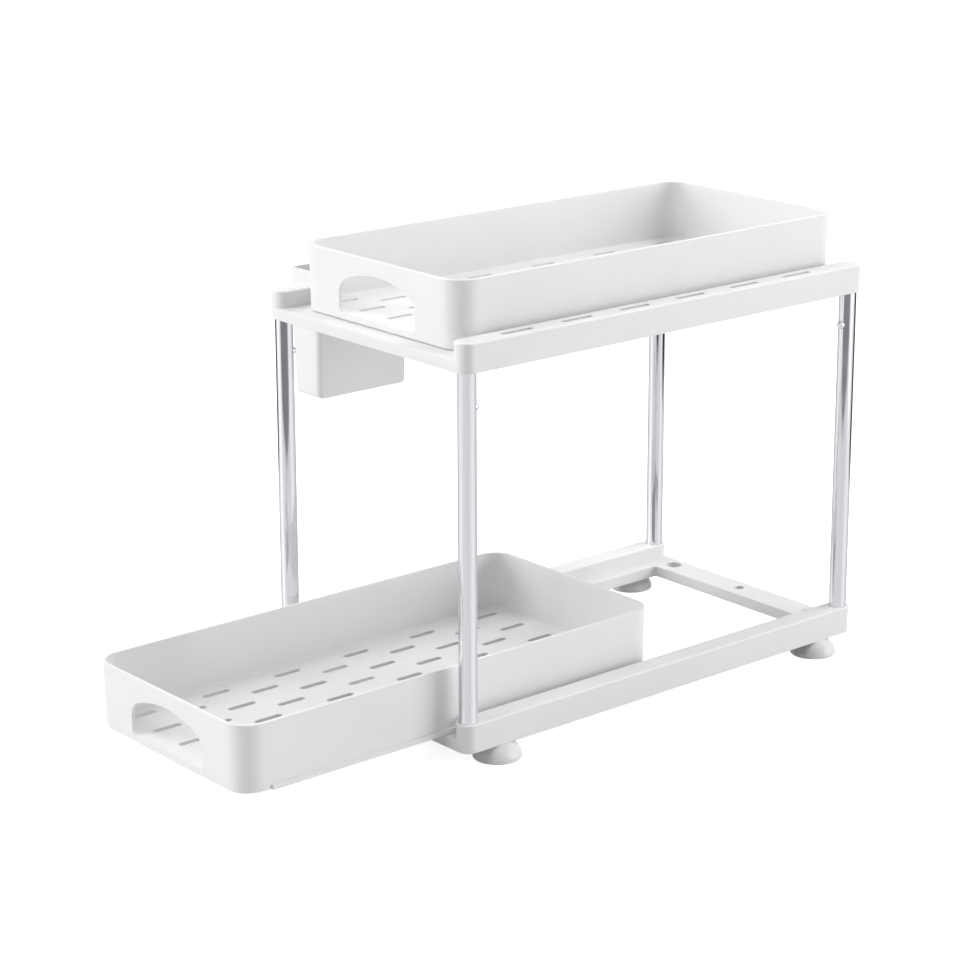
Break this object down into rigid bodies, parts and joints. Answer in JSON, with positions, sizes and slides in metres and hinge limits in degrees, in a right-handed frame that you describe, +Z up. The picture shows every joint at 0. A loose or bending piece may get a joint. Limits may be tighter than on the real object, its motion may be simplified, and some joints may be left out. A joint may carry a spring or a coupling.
{
  "type": "under sink organizer",
  "caption": "Two-tier storage rack for a cupboard below a sink: a pull-out drawer, a sliding upper tray, telescopic posts with snap buttons, suction feet and a hook-on side bin.",
  "frame": {"origin": "point on the floor below the middle of the base frame", "axes": "+X to the right side seen from the front, +Y from the drawer's front towards the rear, +Z up"},
  "size_m": [0.2636, 0.5545, 0.335],
  "materials": {
    "frame_plastic": "satin white moulded plastic",
    "tray_plastic": "satin white moulded plastic",
    "bin_plastic": "satin white moulded plastic",
    "chrome_tube": "bright chrome",
    "inner_tube": "bright chrome",
    "spring_steel": "polished spring steel",
    "foot_plastic": "milky soft plastic"
  },
  "bodies": {
    "base": {"base_frame": "frame_plastic", "post_outer_fl": "chrome_tube", "post_outer_fr": "chrome_tube", "post_outer_rl": "chrome_tube", "post_outer_rr": "chrome_tube", "foot_fl": "foot_plastic", "foot_fr": "foot_plastic", "foot_rl": "foot_plastic", "foot_rr": "foot_plastic"},
    "drawer": {"drawer": "tray_plastic"},
    "shelf": {"shelf_frame": "frame_plastic", "post_inner_fl": "inner_tube", "post_inner_fr": "inner_tube", "post_inner_rl": "inner_tube", "post_inner_rr": "inner_tube", "clips_fl": "spring_steel", "clips_fr": "spring_steel", "clips_rl": "spring_steel", "clips_rr": "spring_steel"},
    "upper_tray": {"upper_tray": "tray_plastic"},
    "side_bin": {"side_bin": "bin_plastic"},
    "button_fl": {"button_fl": "spring_steel"},
    "button_fr": {"button_fr": "spring_steel"},
    "button_rl": {"button_rl": "spring_steel"},
    "button_rr": {"button_rr": "spring_steel"}
  },
  "joints": [
    {"name": "drawer_slide", "type": "slide", "parent": "base", "child": "drawer", "axis": [0, -1, 0], "range_m": [-0.182, 0.008]},
    {"name": "shelf_height", "type": "slide", "parent": "base", "child": "shelf", "axis": [0, 0, 1], "range_m": [0, 0.105]},
    {"name": "tray_slide", "type": "slide", "parent": "shelf", "child": "upper_tray", "axis": [0, -1, 0], "range_m": [0, 0.185]},
    {"name": "bin_lift", "type": "slide", "parent": "shelf", "child": "side_bin", "axis": [0, 0, 1], "range_m": [0, 0.015]},
    {"name": "button_press_fl", "type": "slide", "parent": "shelf", "child": "button_fl", "axis": [0, -1, 0], "range_m": [0, 0.00415], "stiffness_N_per_m": 700, "springref_m": -0.001, "deforming": ["button_fl"]},
    {"name": "button_press_fr", "type": "slide", "parent": "shelf", "child": "button_fr", "axis": [0, -1, 0], "range_m": [0, 0.00415], "stiffness_N_per_m": 700, "springref_m": -0.001, "deforming": ["button_fr"]},
    {"name": "button_press_rl", "type": "slide", "parent": "shelf", "child": "button_rl", "axis": [0, 1, 0], "range_m": [0, 0.00415], "stiffness_N_per_m": 700, "springref_m": -0.001, "deforming": ["button_rl"]},
    {"name": "button_press_rr", "type": "slide", "parent": "shelf", "child": "button_rr", "axis": [0, 1, 0], "range_m": [0, 0.00415], "stiffness_N_per_m": 700, "springref_m": -0.001, "deforming": ["button_rr"]}
  ]
}
